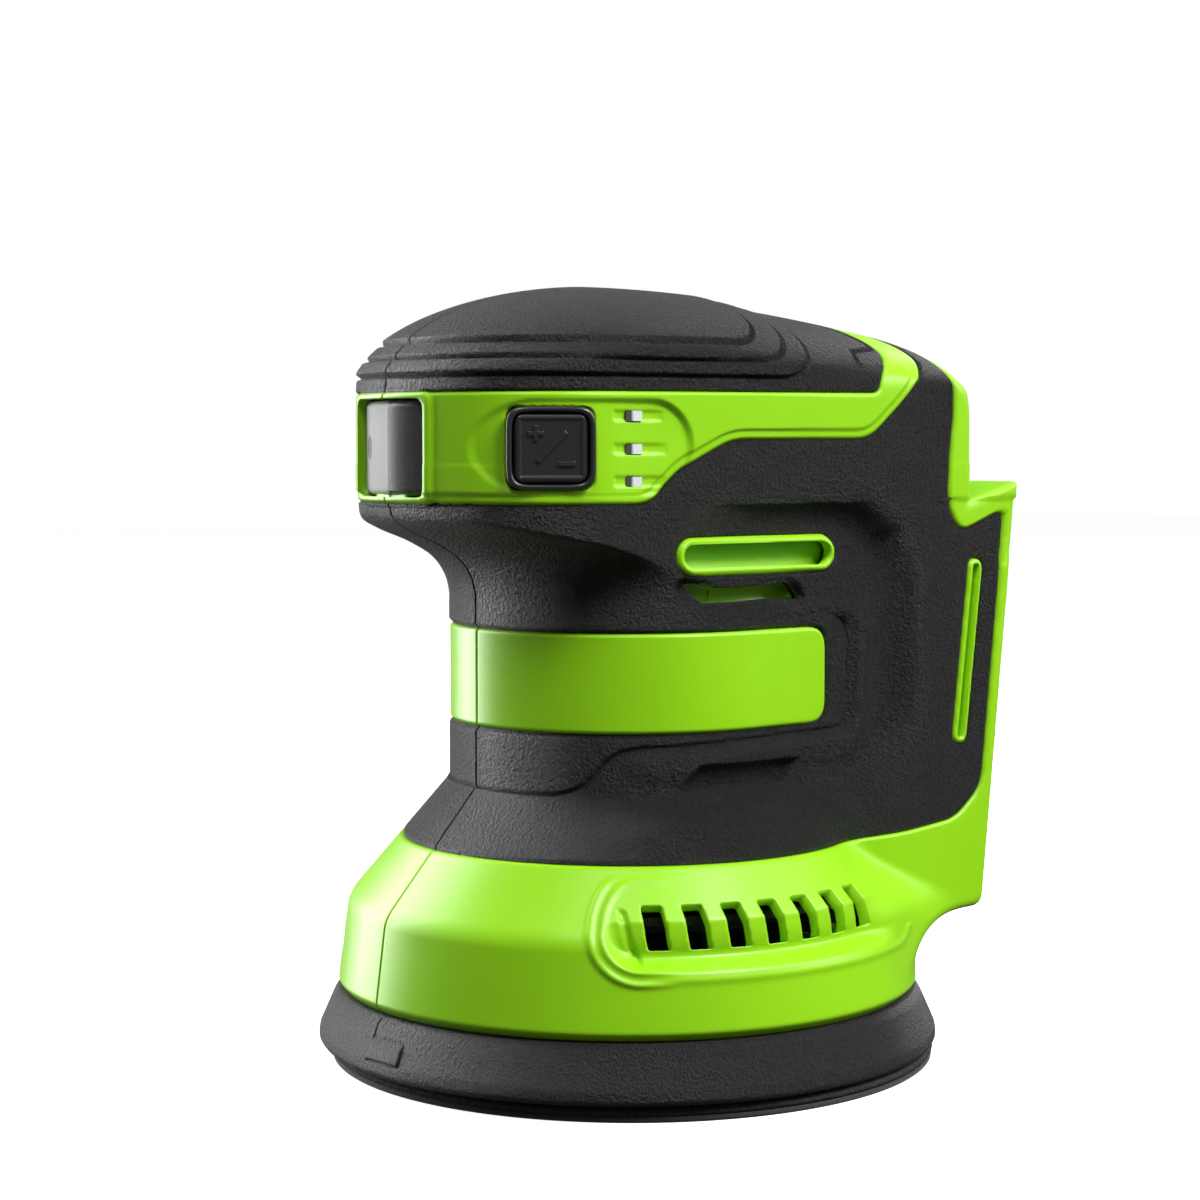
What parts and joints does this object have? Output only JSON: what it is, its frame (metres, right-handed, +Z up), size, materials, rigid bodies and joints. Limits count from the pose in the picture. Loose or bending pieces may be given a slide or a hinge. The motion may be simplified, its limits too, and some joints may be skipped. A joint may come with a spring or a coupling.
{
  "type": "orbital sander",
  "caption": "Cordless palm-grip random-orbit sander with a round hook-faced pad, dust skirt, front switch, speed button and rear battery foot.",
  "frame": {"origin": "On the motor axis, in the plane of the sanding face (the pad rests on Z = 0).", "axes": "+Z up along the motor axis, +X towards the rear battery foot, -X towards the power switch, -Y the left side with the speed button."},
  "size_m": [0.1369, 0.1284, 0.1577],
  "materials": {
    "lime_plastic": "bright lime green moulded plastic, satin",
    "soft_grip": "dark grey soft overmould, fine grain",
    "skirt_rubber": "dark rubber skirt",
    "black_plastic": "black moulded plastic",
    "gloss_black": "glossy black",
    "smoky_cover": "smoky clear flexible cover",
    "clear_lens": "milky clear light pipe",
    "board_green": "circuit board",
    "plated_steel": "zinc plated steel",
    "screw_steel": "dark screws",
    "spring_steel": "spring wire",
    "bearing_steel": "ground steel",
    "lamination_steel": "bare steel",
    "dark_magnet": "ferrite magnet",
    "carbon": "carbon brush",
    "cast_alloy": "die-cast alloy",
    "copper_wire": "enamelled copper",
    "contact_brass": "contact blade",
    "grey_plastic": "dark grey reinforced plastic",
    "pad_foam": "dense black foam",
    "hook_fabric": "hook facing",
    "wire_red": "insulated wire"
  },
  "bodies": {
    "housing": {"housing_left": "lime_plastic", "housing_right": "lime_plastic", "grip_left": "soft_grip", "grip_right": "soft_grip", "palm_left": "soft_grip", "palm_right": "soft_grip", "switch_body": "black_plastic", "switch_cover": "smoky_cover", "button_bezel": "gloss_black", "tact_switch": "black_plastic", "control_board": "board_green", "motor_can": "plated_steel", "motor_magnets": "dark_magnet", "motor_end_cap": "black_plastic", "brushes": "carbon", "brush_springs": "spring_steel", "motor_mount": "cast_alloy", "motor_screws": "screw_steel", "lower_bearing": "bearing_steel", "upper_bearing": "bearing_steel", "fan_baffle": "black_plastic", "terminal_block": "black_plastic", "contact_blades": "contact_brass", "dust_skirt": "skirt_rubber", "dust_port": "black_plastic", "indicator_lenses": "clear_lens", "housing_screws": "screw_steel", "supply_wires": "wire_red", "motor_wires": "wire_red"},
    "drive": {"motor_shaft": "bearing_steel", "armature_core": "lamination_steel", "windings": "copper_wire", "commutator": "copper_wire", "eccentric_hub": "cast_alloy", "counterweight": "lamination_steel", "cooling_fan": "grey_plastic", "pad_bearing": "bearing_steel"},
    "pad": {"pad_spindle": "plated_steel", "spindle_screw": "screw_steel", "backing_plate": "grey_plastic", "pad_foam": "pad_foam", "hook_facing": "hook_fabric", "pad_screws": "screw_steel"},
    "rocker": {"rocker": "black_plastic"},
    "speed_button": {"speed_button": "gloss_black"}
  },
  "joints": [
    {"name": "rotor_spin", "type": "hinge", "parent": "housing", "child": "drive", "pos_m": [0, 0, 0.07], "axis": [0, 0, 1], "continuous": true},
    {"name": "pad_spin", "type": "hinge", "parent": "drive", "child": "pad", "pos_m": [0.0012, 0, 0.019], "axis": [0, 0, 1], "continuous": true},
    {"name": "rocker_tilt", "type": "hinge", "parent": "housing", "child": "rocker", "pos_m": [-0.05, 0, 0.1252], "axis": [0, 0, 1], "range_deg": [-7, 7]},
    {"name": "button_press", "type": "slide", "parent": "housing", "child": "speed_button", "axis": [0.4787, 0.878, 0], "range_m": [0, 0.0009], "stiffness_N_per_m": 400, "springref_m": -0.0005}
  ]
}
